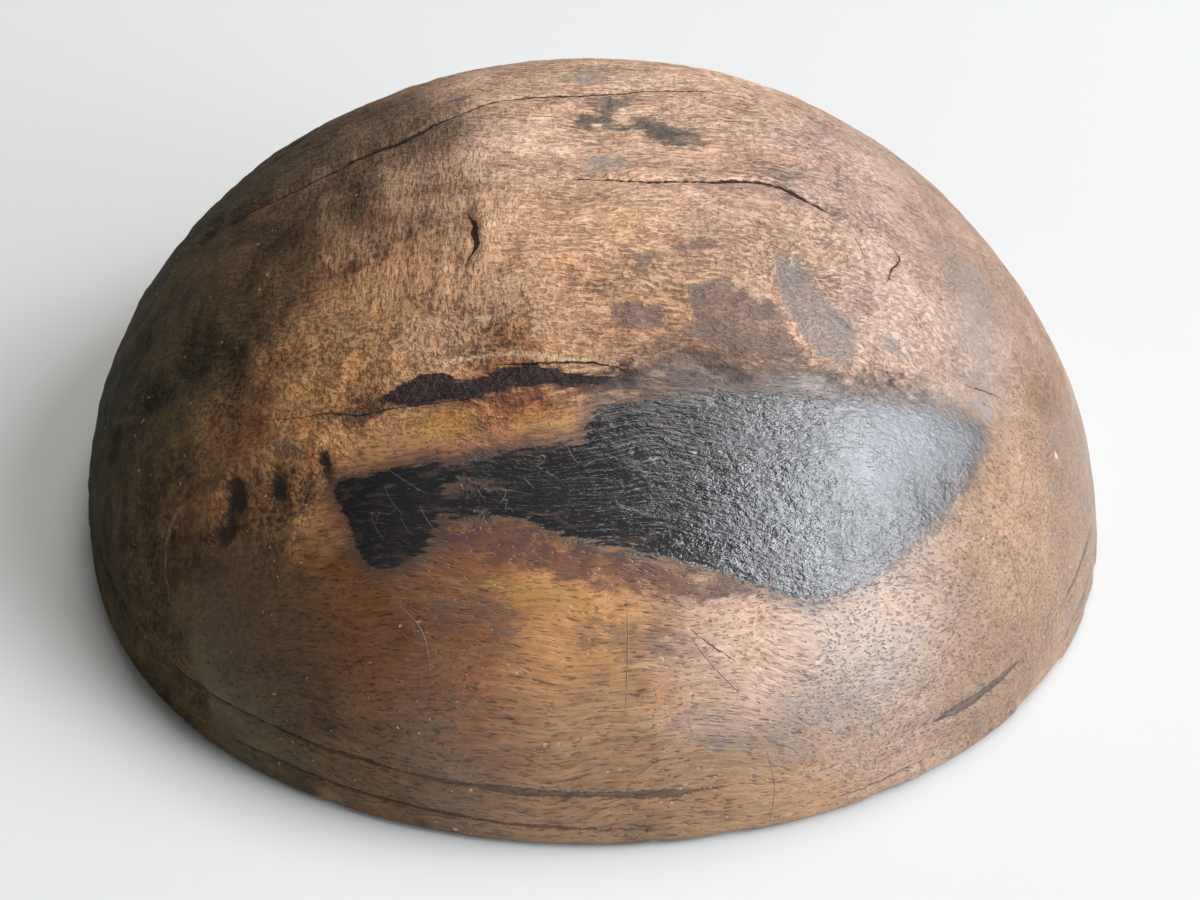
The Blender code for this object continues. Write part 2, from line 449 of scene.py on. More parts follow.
def lattice_value(ix, iy, iz, seed):
    """A repeatable number from 0 to 1 for each lattice point."""
    n = (ix * 374761393 + iy * 668265263 + iz * 1274126177 + seed * 974634777) & 0xFFFFFFFF
    n = ((n ^ (n >> 13)) * 1103515245) & 0xFFFFFFFF
    n = ((n ^ (n >> 15)) * 2246822519) & 0xFFFFFFFF
    return ((n ^ (n >> 16)) & 0xFFFF) / 65535.0


def noise(points, size, seed):
    """Smooth noise from -1 to 1. size is one number, or one for each axis, in millimetres."""
    q = points / np.asarray(size, float)
    corner = np.floor(q).astype(np.int64)
    f = q - corner
    f = f * f * (3 - 2 * f)
    total = np.zeros(len(points))
    for dx in (0, 1):
        for dy in (0, 1):
            for dz in (0, 1):
                weight = np.abs(1 - dx - f[:, 0]) * np.abs(1 - dy - f[:, 1]) * np.abs(1 - dz - f[:, 2])
                value = lattice_value(corner[:, 0] + dx, corner[:, 1] + dy, corner[:, 2] + dz, seed)
                total += weight * value
    return total * 2 - 1


def layered(points, size, seed, layers=3):
    """Noise with finer layers of half the size and half the strength on top."""
    total = np.zeros(len(points))
    for k in range(layers):
        total += noise(points, np.asarray(size, float) / 2**k, seed + k) / 2**k
    return total


# ---------------- the bowl's section


def soft_min(a, b, blend):
    share = np.clip(0.5 + 0.5 * (b - a) / blend, 0.0, 1.0)
    return b * (1 - share) + a * share - blend * share * (1 - share)


def power_arc(radius, height, power, t):
    angle = t * math.pi / 2
    return np.stack([radius * np.cos(angle) ** (2 / power), height * np.sin(angle) ** (2 / power)], 1)


def resampled(points, spacing):
    """The same line with evenly spaced points, both ends kept."""
    steps = np.hypot(*np.diff(points, axis=0).T)
    way = np.concatenate([[0.0], np.cumsum(steps)])
    count = max(1, round(way[-1] / spacing))
    at = np.linspace(0, way[-1], count + 1)
    return np.stack([np.interp(at, way, points[:, k]) for k in (0, 1)], 1)


def quarter_round(centre_radius, start, end, count=5):
    angle = np.radians(np.linspace(start, end, count + 1))
    return np.stack([centre_radius + RIM_EDGE * np.cos(angle), RIM_EDGE * (1 + np.sin(angle))], 1)


def bowl_section():
    """The half section's points and, for each, its chart distance, zone and mesh spacing."""
    outer = power_arc(RIM_RADIUS, CROWN_HEIGHT, OUTER_POWER, np.linspace(1, 0, OUTER_SAMPLES))
    outer[:, 1] = soft_min(outer[:, 1], HEIGHT, BASE_BLEND)
    outer = outer[outer[:, 1] > RIM_EDGE]
    inner = power_arc(INNER_RADIUS, INNER_DEPTH, INNER_POWER, np.linspace(0, 1, INNER_SAMPLES))
    inner = inner[inner[:, 1] > RIM_EDGE]
    outer_edge = quarter_round(outer[-1, 0] - RIM_EDGE, 0, -90)
    inner_edge = quarter_round(inner[0, 0] + RIM_EDGE, -90, -180)
    flat = resampled(np.array([outer_edge[-1], inner_edge[0]]), RIM_SPACING)
    outer = resampled(outer, OUTER_SPACING)
    inner = resampled(inner, INNER_SPACING)
    rim = np.concatenate([outer_edge[1:], flat[1:-1], inner_edge])
    points = np.concatenate([outer, rim, inner[1:]])
    zones = np.repeat([OUTSIDE, RIM, INSIDE], [len(outer), len(rim), len(inner) - 1])
    chart = np.concatenate([[0.0], np.cumsum(np.hypot(*np.diff(points, axis=0).T))])
    spacing = np.array([OUTER_SPACING, RIM_COLUMN_SPACING, INNER_SPACING])[zones]
    return points, chart, zones, spacing


def plan_scale(around):
    return 1 + sum(share * np.cos(lobes * around + math.radians(turn)) for lobes, share, turn in PLAN_WAVES)


def stitched(start_a, count_a, start_b, count_b):
    """Triangles between two rings of points that start at the same angle."""
    faces = []
    i = j = 0
    while i < count_a or j < count_b:
        a, b = start_a + i % count_a, start_b + j % count_b
        next_a, next_b = (i + 1) / count_a, (j + 1) / count_b
        if count_a > 1 and i < count_a and (next_a <= next_b or j >= count_b):
            faces.append((a, start_a + (i + 1) % count_a, b))
            i += 1
        elif j < count_b:
            faces.append((a, start_b + (j + 1) % count_b, b))
            j += 1
        else:
            i += 1
    return faces


class Surface:
    """Every point of the mesh before its relief: place, normal, chart position and zone."""

    def __init__(self):
        points, chart, zones, spacing = bowl_section()
        tangent = np.gradient(points, axis=0)
        tangent /= np.maximum(np.hypot(*tangent.T)[:, None], 1e-9)
        columns = np.maximum(FEWEST_COLUMNS, np.round(2 * math.pi * points[:, 0] / spacing)).astype(int)
        columns[[0, -1]] = 1
        starts = np.concatenate([[0], np.cumsum(columns)])
        around = np.concatenate([np.arange(n) / n * 2 * math.pi for n in columns]) - math.pi / 2
        ring = np.repeat(np.arange(len(columns)), columns)
        radius, z = points[ring, 0], points[ring, 1]
        scale = plan_scale(around)
        lean = WALL_LEAN * np.sin(math.pi * z / HEIGHT)
        self.place = np.stack(
            [radius * np.cos(around) * scale + lean, radius * np.sin(around) * scale, z], 1)
        self.zone = zones[ring]
        self.distance = chart[ring]
        self.chart = self.distance[:, None] * np.stack([np.cos(around), np.sin(around)], 1)
        self.chart[self.zone == INSIDE] += ENDLESS * ENDLESS
        self.turn = (np.degrees(around) + 90 + 180) % 360 - 180
        nr, nz = -tangent[ring, 1], tangent[ring, 0]
        self.normal = np.stack([nr * np.cos(around), nr * np.sin(around), nz], 1)
        self.faces = []
        for k in range(len(columns) - 1):
            self.faces += stitched(starts[k], columns[k], starts[k + 1], columns[k + 1])


# ---------------- lines and outlines on the chart


def smooth_line(points, closed=False, pieces=5):
    """A Catmull-Rom curve through the points, which may carry a width as a third number."""
    p = np.array(points, float)
    if closed:
        p = np.concatenate([p[-1:], p, p[:2]])
    else:
        p = np.concatenate([2 * p[:1] - p[1:2], p, 2 * p[-1:] - p[-2:-1]])
    t = (np.arange(pieces) / pieces)[:, None]
    curve = []
    for a, b, c, d in zip(p, p[1:], p[2:], p[3:]):
        curve.append(0.5 * (2 * b + (c - a) * t + (2 * a - 5 * b + 4 * c - d) * t**2
                            + (3 * b - a - 3 * c + d) * t**3))
    return np.concatenate(curve + [p[-2:-1]])


def points_near(chart, curve):
    """The numbers of the points within FAR of the curve's box."""
    low, high = curve[:, :2].min(0) - FAR, curve[:, :2].max(0) + FAR
    return np.flatnonzero(((chart > low) & (chart < high)).all(1))


def along_line(chart, line):
    """For points near the line: their numbers, the offset to its left, and its half width there.

    The half width falls off beyond the line's ends."""
    curve = smooth_line(line)
    near = points_near(chart, curve)
    p = chart[near]
    best = np.full(len(near), ENDLESS)
    offset = np.full(len(near), ENDLESS)
    width = np.full(len(near), -ENDLESS)
    for i, (a, b) in enumerate(zip(curve[:-1], curve[1:])):
        way = b[:2] - a[:2]
        length = math.hypot(*way)
        rel = p - a[:2]
        share = rel @ way / length**2
        held = np.clip(share, 0, 1)
        gap = np.hypot(*(rel - held[:, None] * way).T)
        side = (way[0] * rel[:, 1] - way[1] * rel[:, 0]) / length
        past_start = length * np.maximum(0, -share) if i == 0 else 0
        past_end = length * np.maximum(0, share - 1) if i == len(curve) - 2 else 0
        closer = gap < best
        best[closer] = gap[closer]
        offset[closer] = side[closer]
        width[closer] = (a[2] + held * (b[2] - a[2]) - past_start - past_end)[closer]
    return near, offset, width


def line_field(chart, lines):
    """The offset from the nearest line and that line's half width, for every point."""
    offset = np.full(len(chart), ENDLESS)
    width = np.full(len(chart), -ENDLESS)
    for line in lines:
        near, side, wide = along_line(chart, line)
        closer = wide - np.abs(side) > width[near] - np.abs(offset[near])
        offset[near[closer]] = side[closer]
        width[near[closer]] = wide[closer]
    return without_bridges(offset, width)


def without_bridges(offset, width):
    """Narrows a line's width away from it, so that two lines don't meet in the middle."""
    offset = np.clip(offset, -FAR, FAR)
    return offset, np.clip(width - np.maximum(0, np.abs(offset) - 1.6), -FAR, FAR)


def distance_at(height):
    """The chart distance at which the outside is this far above the rim plane."""
    points, chart, zones, _ = bowl_section()
    outside = zones == OUTSIDE
    return np.interp(-height, -points[outside, 1], chart[outside])


def ring_wander(turn):
    """How far a ring strays from its own distance, in millimetres."""
    return sum(size * np.sin(waves * np.radians(turn) + math.radians(start))
               for waves, size, start in RING_WANDER)


def open_width(turn, stretches):
    """A ring's half width: open in its stretches, worn shut between them, with soft ends."""
    width = np.full(len(turn), WORN_SHUT)
    for middle, reach, half in stretches:
        away = np.abs((turn - middle + 180) % 360 - 180)
        share = smooth_step(1.6 * reach, 0.6 * reach, away)
        width = np.maximum(width, WORN_SHUT + share * (half - WORN_SHUT))
    return width


def ring_field(surface):
    """The offset from the nearest turned ring and that ring's half width."""
    offset = np.full(len(surface.turn), ENDLESS)
    width = np.full(len(surface.turn), -ENDLESS)
    for height, stretches in RINGS:
        side = surface.distance - distance_at(height) - ring_wander(surface.turn)
        side += 0.5 * noise(surface.place, 9, 71)
        wide = open_width(surface.turn, stretches)
        wide = wide * (0.8 + 0.5 * noise(surface.place, 6, 72))
        closer = np.abs(side) < np.abs(offset)
        offset[closer] = side[closer]
        width[closer] = wide[closer]
    width[surface.zone != OUTSIDE] = -ENDLESS
    return without_bridges(offset, width)


def is_inside(p, curve):
    """Whether each point is inside the closed curve, by counting crossings."""
    inside = np.zeros(len(p), bool)
    for a, b in zip(curve, np.roll(curve, -1, axis=0)):
        if a[1] == b[1]:
            continue
        spans = (a[1] > p[:, 1]) != (b[1] > p[:, 1])
        inside ^= spans & (p[:, 0] < a[0] + (p[:, 1] - a[1]) / (b[1] - a[1]) * (b[0] - a[0]))
    return inside


def depth_inside(chart, outlines):
    """How far inside the outlines each point is, in millimetres; negative outside."""
    depth = np.full(len(chart), -FAR)
    for outline in outlines:
        curve = smooth_line(outline, closed=True)[:-1]
        near = points_near(chart, curve)
        p = chart[near]
        gap = np.full(len(near), FAR)
        for a, b in zip(curve, np.roll(curve, -1, axis=0)):
            way = b - a
            rel = p - a
            held = np.clip(rel @ way / max(way @ way, 1e-9), 0, 1)
            gap = np.minimum(gap, np.hypot(*(rel - held[:, None] * way).T))
        depth[near] = np.maximum(depth[near], np.where(is_inside(p, curve), gap, -gap))
    return depth


def wood_colour(surface):
    """The wood's colour at every point, blended from its regions, with painted shade towards -X and a painted
    highlight on the wall.
    """
    total = np.zeros((len(surface.chart), 3))
    weights = np.zeros(len(surface.chart))
    chart = np.where(surface.zone[:, None] == INSIDE, 0.0, surface.chart)
    for reach, size, seed in ((6, 30, 85), (5, 14, 81), (3.5, (8, 4, 4), 83)):
        chart = chart + reach * np.stack([noise(surface.place, size, seed + k) for k in (0, 1)], 1)
    for across, along, tone, shade in WOOD.values():
        square = (chart[:, 0] - across) ** 2 + (chart[:, 1] - along) ** 2
        weight = 1 / (1 + square / COLOUR_REACH**2) ** 3
        total += weight[:, None] * SHADES[shade] * np.array((1, *TONES[tone]))
        weights += weight
    return total / weights[:, None]


def inner_colour(surface):
    """Brown wood inside the bowl, darker in its depth and where food and oil have stained it."""
    deep = smooth_step(20, 62, surface.place[:, 2])
    share = np.clip(deep * 0.75 + 0.30 * layered(surface.place, (34, 20, 20), 91, 3), 0, 1)[:, None]
    return np.array(INNER_PALE) * (1 - share) + np.array(INNER_DARK) * share


# ---------------- relief


def patina_scratches():
    """Short scratches that cross the patina, most of them running down to +X."""
    chance = random.Random(SCRATCH_SEED)
    scratches = []
    for _ in range(PATINA_SCRATCHES):
        across = chance.uniform(*SCRATCH_ACROSS)
        # the patina narrows towards -X
        along = chance.uniform(-81, -72) if across < -10 else chance.uniform(-83, -71 + 0.3 * (across + 10))
        slope = math.radians(chance.uniform(*SCRATCH_SLOPE))
        reach = chance.uniform(*SCRATCH_REACH)
        x, y = reach * math.cos(slope), reach * math.sin(slope)
        half = chance.uniform(*SCRATCH_HALF_WIDTH)
        middle = (across + 0.15 * y, along, half)
        scratches.append(((across - x, along - y, 0.01), middle, (across + x, along + y, 0.01)))
    return tuple(scratches)


class Features:
    """What the chart says about every point, worked out once for both relief and material."""

    def __init__(self, surface):
        chart = surface.chart
        self.crown = depth_inside(chart, (CROWN,)) + 2.5 * layered(surface.place, 12, 31, 2)
        self.patina = depth_inside(chart, PATINA)
        self.streak = depth_inside(chart, STREAK)
        self.crack = line_field(chart, [way for _, _, way in CRACKS])
        self.flake = line_field(chart, [way for _, way in FLAKES])
        self.sheen_patch = depth_inside(chart, PATINA_SHEEN_OUTLINE)
        self.scratch = line_field(chart, SCRATCHES + patina_scratches())
        self.ring = ring_field(surface)
        self.stains = {name: depth_inside(chart, stain[-1]) for name, stain in STAINS.items()}
        self.rough = smooth_step(-3, 3, self.crown) * (1 - smooth_step(-1, 2, self.patina))
        self.rough *= 1 - 0.40 * smooth_step(30, 80, chart[:, 0])
        self.rough[surface.zone != OUTSIDE] = 0
        self.upright = smooth_step(-10, 8, depth_inside(chart, (UPRIGHT,)) + 6 * noise(surface.place, 8, 32))
        self.grainy = smooth_step(-6, 6, depth_inside(chart, (GRAINY,)) + 4 * noise(surface.place, 8, 33))
        self.chip = chipped_edge(surface)
        self.weathering = weathering(surface, self.rough, self.upright)
        self.dunes = dunes(surface, self.rough)


def weathering(surface, rough, upright):
    """The uneven surface of the rough zone at the scale of a few millimetres."""
    place = surface.place
    height = 0.24 * layered(place, (7.5, 4.5, 4.5), 21, 3) + 0.12 * noise(place, 2.2, 27)
    height += upright * (0.22 * layered(place, (3.4, 14, 14), 24, 2) - 0.08 * noise(place, 2.2, 27))
    return rough * height


def dunes(surface, rough):
    """Wavy ridges left by the adze on the dark side, from -1 in their valleys to 1 on top."""
    place = surface.place
    bent = place + 5 * noise(place, 13, 14)[:, None]
    waves = 1 - 2.6 * np.abs(noise(bent, (7, 16, 10), 12)) + 0.5 * noise(bent, (3.5, 8, 6), 13)
    across = surface.chart[:, 0]
    share = smooth_step(-22, -60, across) * (1 - 0.7 * smooth_step(-80, -110, across))
    share *= 1 - 0.6 * smooth_step(-15, 15, surface.chart[:, 1])
    return share * rough * np.clip(waves, -1, 1)


def chipped_edge(surface):
    """Where the rim's outer edge has lost splinters, 0 to 1, with the fresh chips a little to +X."""
    place = surface.place
    low = 1 - smooth_step(0.8, 4.5, place[:, 2] + 1.2 * noise(place, 3, 41))
    torn = 0.8 * smooth_step(0.42, 0.70, layered(place, (11, 7, 40), 42, 2))
    middle, reach = FRESH_CHIPS
    fresh = np.exp(-((surface.turn - middle) / reach) ** 2)
    chips = low * np.maximum(torn, fresh * smooth_step(-0.2, 0.3, noise(place, 5, 43)))
    return np.where((surface.zone == INSIDE) | (surface.distance > CHIPS_END), 0, chips)


def crack_relief(surface):
    """Valleys along the cracks, with the wood on one side standing higher."""
    height = np.zeros(len(surface.place))
    for depth, step, way in CRACKS:
        near, offset, width = along_line(surface.chart, way)
        present = smooth_step(-1.5, 0.25, width)
        valley = np.maximum(0.75, 1.25 * width)
        height[near] -= present * depth * np.clip(0.35 + width, 0, 1) * np.exp(-((offset / valley) ** 2))
        height[near] += present * 0.5 * step * np.tanh(offset / 0.8) * np.exp(-np.abs(offset) / 5)
    return height


def flake_relief(surface):
    """Ridges along the pale torn edges."""
    height = np.zeros(len(surface.place))
    for rise, way in FLAKES:
        near, offset, width = along_line(surface.chart, way)
        present = smooth_step(-1.0, 0.2, width)
        height[near] += present * rise * np.exp(-((offset / np.maximum(0.9, width)) ** 2))
    return height


def pit_relief(surface):
    """Hollows at the pits, a little longer along the fibres than across them."""
    height = np.zeros(len(surface.place))
    for across, along, radius, depth in PITS:
        gap = np.hypot(surface.chart[:, 0] - across, (surface.chart[:, 1] - along) * 1.25)
        height -= depth * np.exp(-((gap / radius) ** 2))
    return height


def outer_relief(surface, features):
    """How far the weathered outside stands out from the turned shape, in millimetres."""
    place, chart, rough = surface.place, surface.chart, features.rough
    height = 0.40 * layered(place, (42, 30, 30), 11, 2)
    height += features.weathering + 0.50 * features.dunes
    smooth = 1 - rough
    height += smooth * 0.07 * layered(place, (16, 4, 4), 25, 2)
    crust = smooth_step(-1.0, 1.0, features.patina)
    height += crust * (0.14 + 0.10 * layered(place, (4.0, 2.2, 2.2), 26, 2))
    height += 0.12 * smooth_step(-0.8, 0.8, features.streak)
    for name, drop in (("purple", 0.22), ("slate", 0.22), ("shaded_dents", 0.9)):
        height -= drop * smooth_step(-0.7, 0.9, features.stains[name]) * rough
    height += crack_relief(surface) + flake_relief(surface) + pit_relief(surface)
    offset, width = features.ring
    present = smooth_step(-0.6, 0.4, width)
    height -= present * RING_DEPTH * np.exp(-((offset / np.maximum(0.75, width)) ** 2))
    height -= CHIP_DEPTH * features.chip
    return height


def inner_relief(surface):
    """The marks of the gouge inside: shallow scallops in rings, crossed by the fibres."""
    place = surface.place
    reach = np.hypot(place[:, 0], place[:, 1])
    rings = np.sin(2 * math.pi * (place[:, 2] + 0.35 * reach) / 9 + 2 * noise(place, 30, 51))
    scallops = np.abs(noise(place, (11, 11, 8), 52))
    return -0.10 * rings - 0.30 * scallops + 0.12 * layered(place, (26, 7, 7), 53, 2)


def add_relief(surface, features):
    """The finished places of all points, with the rim's underside kept flat on the floor."""
    height = np.where(surface.zone == INSIDE, inner_relief(surface), outer_relief(surface, features))
    edge = smooth_step(0.0, 2.5, surface.place[:, 2])
    keep = np.where(surface.zone == RIM, edge, np.maximum(edge, 0.15))
    chips = np.where(surface.zone == OUTSIDE, 0, -0.5 * features.chip)
    moved = surface.place + surface.normal * (height * keep + chips)[:, None]
    moved[:, 2] = np.maximum(moved[:, 2], 0)
    return moved, height


# ---------------- a shorthand for shader nodes


class Wire:
    """A value on its way between nodes. Arithmetic on it adds Math nodes."""

    def __init__(self, graph, socket):
        self.graph = graph
        self.socket = socket

    def __add__(self, other):
        return self.graph.math("ADD", self, other)

    __radd__ = __add__

    def __sub__(self, other):
        return self.graph.math("SUBTRACT", self, other)

    def __rsub__(self, other):
        return self.graph.math("SUBTRACT", other, self)

    def __mul__(self, other):
        return self.graph.math("MULTIPLY", self, other)

    __rmul__ = __mul__

    def __neg__(self):
        return self * -1

    def __abs__(self):
        return self.graph.math("ABSOLUTE", self)


class Graph:
    """One material's nodes. Each method adds a node and returns its output as a Wire."""

    def __init__(self, name):
        self.material = bpy.data.materials.new(name)
        self.material.use_nodes = True
        self.tree = self.material.node_tree
        self.shader = self.tree.nodes["Principled BSDF"]
        self.place = self.scaled(self.node("ShaderNodeTexCoord", {}, "Object"), MM_IN_METRE)

    def node(self, kind, inputs, output=0, **settings):
        node = self.tree.nodes.new(kind)
        for key, value in settings.items():
            setattr(node, key, value)
        for key, value in inputs.items():
            self.put(node.inputs[key], value)
        return Wire(self, node.outputs[output])

    def put(self, socket, value):
        if isinstance(value, Wire):
            self.tree.links.new(value.socket, socket)
        elif isinstance(value, tuple) and socket.type == "RGBA":
            socket.default_value = (*value, 1)
        else:
            socket.default_value = value

    def math(self, operation, *values):
        return self.node("ShaderNodeMath", dict(enumerate(values)), operation=operation)

    def scaled(self, vector, factors):
        """The vector with each axis multiplied."""
        if not isinstance(factors, tuple):
            factors = (factors,) * 3
        return self.node("ShaderNodeVectorMath", {0: vector, 1: factors}, operation="MULTIPLY")

    def moved(self, vector, other):
        return self.node("ShaderNodeVectorMath", {0: vector, 1: other}, operation="ADD")

    def number(self, name):
        return self.node("ShaderNodeAttribute", {}, "Fac", attribute_name=name)

    def colour(self, name):
        return self.node("ShaderNodeAttribute", {}, "Color", attribute_name=name)

    def noise(self, place, size, detail=2.0, roughness=0.55, output="Fac"):
        """Blender's noise, at this size in millimetres along each axis."""
        if not isinstance(size, tuple):
            size = (size,) * 3
        vector = self.scaled(place, tuple(1 / s for s in size))
        inputs = {"Vector": vector, "Scale": 1.0, "Detail": detail, "Roughness": roughness}
        return self.node("ShaderNodeTexNoise", inputs, output)

    def ramp(self, value, low, high, start=0.0, end=1.0):
        inputs = {"Value": value, "From Min": low, "From Max": high, "To Min": start, "To Max": end}
        return self.node("ShaderNodeMapRange", inputs, interpolation_type="SMOOTHSTEP", clamp=True)

    def mix(self, factor, a, b, mode="MIX"):
        node = self.tree.nodes.new("ShaderNodeMix")
        node.data_type = "RGBA"
        node.blend_type = mode
        sockets = {s.identifier: s for s in node.inputs}
        self.put(sockets["Factor_Float"], factor)
        self.put(sockets["A_Color"], a)
        self.put(sockets["B_Color"], b)
        return Wire(self, next(s for s in node.outputs if s.identifier == "Result_Color"))

    def blend(self, factor, a, b):
        """A number that goes from a to b as factor goes from 0 to 1."""
        return a + (b - a) * factor

    def shaded(self, colour, brightness):
        """The colour made brighter or darker by a number around 1."""
        return self.node("ShaderNodeVectorMath", {0: colour, "Scale": brightness}, operation="SCALE")

    def bump(self, height):
        """A bump from a height in millimetres."""
        inputs = {"Height": height * METRES_IN_MM, "Distance": 1.0, "Strength": 1.0}
        return self.node("ShaderNodeBump", inputs)

    def finish(self, colour, roughness, normal, **others):
        inputs = {"Base Color": colour, "Roughness": roughness, "Normal": normal, **others}
        for key, value in inputs.items():
            self.put(self.shader.inputs[key], value)
        return self.material


# ---------------- materials


def wood_fibres(graph):
    """Fibres along X, which wander a little from side to side."""
    drift = graph.noise(graph.place, 26, 1, output="Color")
    drift = graph.scaled(graph.moved(drift, (-0.5, -0.5, -0.5)), (0, 9, 9))
    bent = graph.moved(graph.place, drift)
    fine = graph.noise(bent, (16, 0.75, 0.75), 3, 0.62)
    bands = graph.noise(bent, (70, 5.5, 5.5), 2, 0.5)
    return bent, graph.ramp(fine, 0.30, 0.70, -1, 1), graph.ramp(bands, 0.33, 0.67, -1, 1)


def stained(graph, colour, fine, mottle):
    """The stains, and painted shade in the dents, over the bare wood, each breaking up along the fibres."""
    edge = graph.noise(graph.place, (3.2, 1.8, 1.8), 3, 0.6) - 0.5
    for name, (stain, cover, soft, wobble, _) in STAINS.items():
        depth = graph.number(name) + edge * (4 * wobble) + fine * (0.35 * wobble)
        share = graph.ramp(depth, -0.5 * soft, 0.5 * soft, 0, cover)
        share = share * (1 + 0.22 * mottle)
        colour = graph.mix(share, colour, stain)
    return colour


class OutsideWood(Graph):
    """The outside's material: the patterns that its layers share, and a method for each layer."""

    def __init__(self):
        super().__init__("weathered_wood")
        self.bent, self.fine, self.bands = wood_fibres(self)
        self.rough = self.number("rough")
        self.dark_side = self.number("dark_side")
        self.mottle = self.ramp(self.noise(self.place, 5, 4, 0.65), 0.34, 0.66, -1, 1)
        self.speck = self.broken_fibres()
        self.gaps = self.ramp(self.speck, -0.2, -0.9)
        self.pores = self.ramp(self.noise(self.bent, (2.2, 0.42, 0.42), 1, 0.5), 0.57, 0.67)
        self.wobble = (self.noise(self.place, 1.6, 3, 0.65) - 0.5) * 1.25
        self.cracks = self.line("crack", self.wobble * 0.8)
        self.rings = self.line("ring", self.wobble * 0.8, 0.25)
        self.scratches = self.line("scratch", self.wobble * 0.2, 0.08)
        self.flakes = self.line("flake", self.wobble * 2, 0.4)

        # the patina's fibrous edge is sharp at -X and fades out at +X, where it is hazy
        across = self.node("ShaderNodeSeparateXYZ", {0: self.place}, "X")
        self.glossy = self.ramp(across, -15, 28)
        self.hazy = self.ramp(across, 30, 60)
        frayed = (self.noise(self.bent, (5.5, 0.8, 0.8), 3, 0.6) - 0.5) * self.blend(self.dark_side, 5.5, 1.6)
        self.ragged = frayed + self.wobble
        fade = self.blend(self.hazy, 0.35, 2.2)
        self.patina = self.ramp(self.number("patina") + self.ragged, -fade, fade)
        self.streak = self.ramp(self.number("streak") + self.ragged * 0.55, -0.3, 0.3)
        self.glints = self.ramp(self.noise(self.bent, (1.8, 0.5, 0.5), 2, 0.7), 0.60, 0.70)

    def line(self, name, wobble, soft=0.12):
        """1 inside a crack, scratch, flake or ring, by its offset and half width attributes."""
        gap = abs(self.number(name + "_offset") + wobble)
        return self.ramp(self.number(name + "_width") - gap, -soft, soft)

    def broken_fibres(self):
        """Fine light and dark: short fibres along the wood, across it, or loose grains; -1 to 1."""
        strokes = self.noise(self.bent, (3.0, 0.6, 0.6), 3, 0.65)
        upright = self.noise(self.place, (0.75, 2.4, 2.4), 3, 0.65)
        grains = self.noise(self.place, (1.05, 0.95, 0.95), 3, 0.6)
        speck = self.blend(self.number("upright") * 0.85, strokes, upright)
        speck = self.blend(self.number("grainy") * 0.5 + 0.38, speck, grains)
        return self.ramp(speck, 0.39, 0.61, -1, 1)

    def bare_wood(self):
        """The wood's colour, made lighter and darker by its fibres and pores, and by painted shade in its
        hollows.
        """
        rough = self.rough
        patches = self.ramp(self.noise(self.place, 15, 3, 0.6), 0.36, 0.64, -1, 1)
        light = 1.06 + 0.22 * self.fine * (1 - 0.45 * rough) + 0.07 * self.bands
        light = light + 0.10 * self.mottle + 0.08 * patches
        light = light + self.speck * self.blend(rough, 0.13, 0.25) - 0.16 * rough * self.gaps
        light = light - 0.42 * self.pores * (1 - rough)
        # Painted shade and light from the relief: darker in its hollows, lighter on its ridges, partly the
        # wood's own darker hollows
        light = light + self.number("relief_shade") * self.blend(self.dark_side, 0.22, 0.34)
        return self.shaded(self.colour("wood"), light)

    def weathered(self, colour):
        """Blots, clumps of dirty fibres, shade on the dark side and redder bands."""
        blots = self.ramp(self.noise(self.place, (6, 3.5, 3.5), 4, 0.7), 0.60, 0.72)
        colour = self.mix(blots * self.blend(self.rough, 0.45, 0.75), colour, BLOT_TINT, "MULTIPLY")
        clumps = self.ramp(self.noise(self.place, (3.0, 8.0, 8.0), 4, 0.72), 0.50, 0.64)
        clumps = clumps * self.rough * self.blend(self.dark_side, 0.35, 0.85)
        colour = self.mix(clumps, colour, CLUMP_TINT, "MULTIPLY")
        shade = self.noise(self.moved(self.place, (40, 10, 0)), (20, 11, 11), 4, 0.68)
        shade = self.ramp(shade, 0.50, 0.66) * self.dark_side
        colour = self.mix(shade, colour, SHADE_TINT, "MULTIPLY")
        flecks = self.ramp(self.noise(self.bent, (8.0, 2.0, 2.0), 4, 0.75), 0.53, 0.68) * (1 - self.rough)
        colour = self.mix(flecks * 0.55, colour, FLECK_TINT, "MULTIPLY")
        red = self.ramp(self.noise(self.bent, (24, 6, 6), 3, 0.6), 0.42, 0.66, 0, 0.30)
        colour = self.mix(red, colour, RED_TINT, "MULTIPLY")
        dust = self.ramp(self.noise(self.place, 1.1, 1, 0.5), 0.745, 0.775)
        return self.mix(dust * 0.45, colour, DUST)

    def marked(self, colour):
        """Pale torn edges and bright spots, partly painted highlight, chips, painted shade in cracks and
        pits, dark rings.
        """
        # Painted highlight: the pale along the flakes is partly torn wood and partly a highlight on their
        # ridges
        colour = self.mix(self.flakes * self.blend(self.dark_side, 0.62, 0.25), colour, TORN_EDGE_AND_HIGHLIGHT)
        # Pale bare spots, the one at (0, 9) a painted glint
        colour = self.mix(self.number("spot"), colour, BARE_SPOT_AND_GLINT)
        colour = self.mix(self.number("chip") * 0.8, colour, FRESH_WOOD)
        # Painted highlight along each crack's raised lip, then painted shade: the near-black inside the
        # cracks
        lip = self.ramp(abs(self.number("crack_offset") - 0.9), 0.75, 0.35)
        colour = self.shaded(colour, 1 + 0.35 * lip * self.ramp(self.number("crack_width"), 0.05, 0.5))
        colour = self.mix(self.cracks * 0.93, colour, CRACK_SHADE)
        # Painted shade: dark brown inside the pits
        pits = self.ramp(self.number("pit") + self.mottle * 0.4 + self.speck * 0.35, 0.45, 0.85)
        colour = self.mix(pits * 0.8, colour, PIT_SHADE)
        return self.mix(self.rings * 0.72, colour, RING_BROWN)

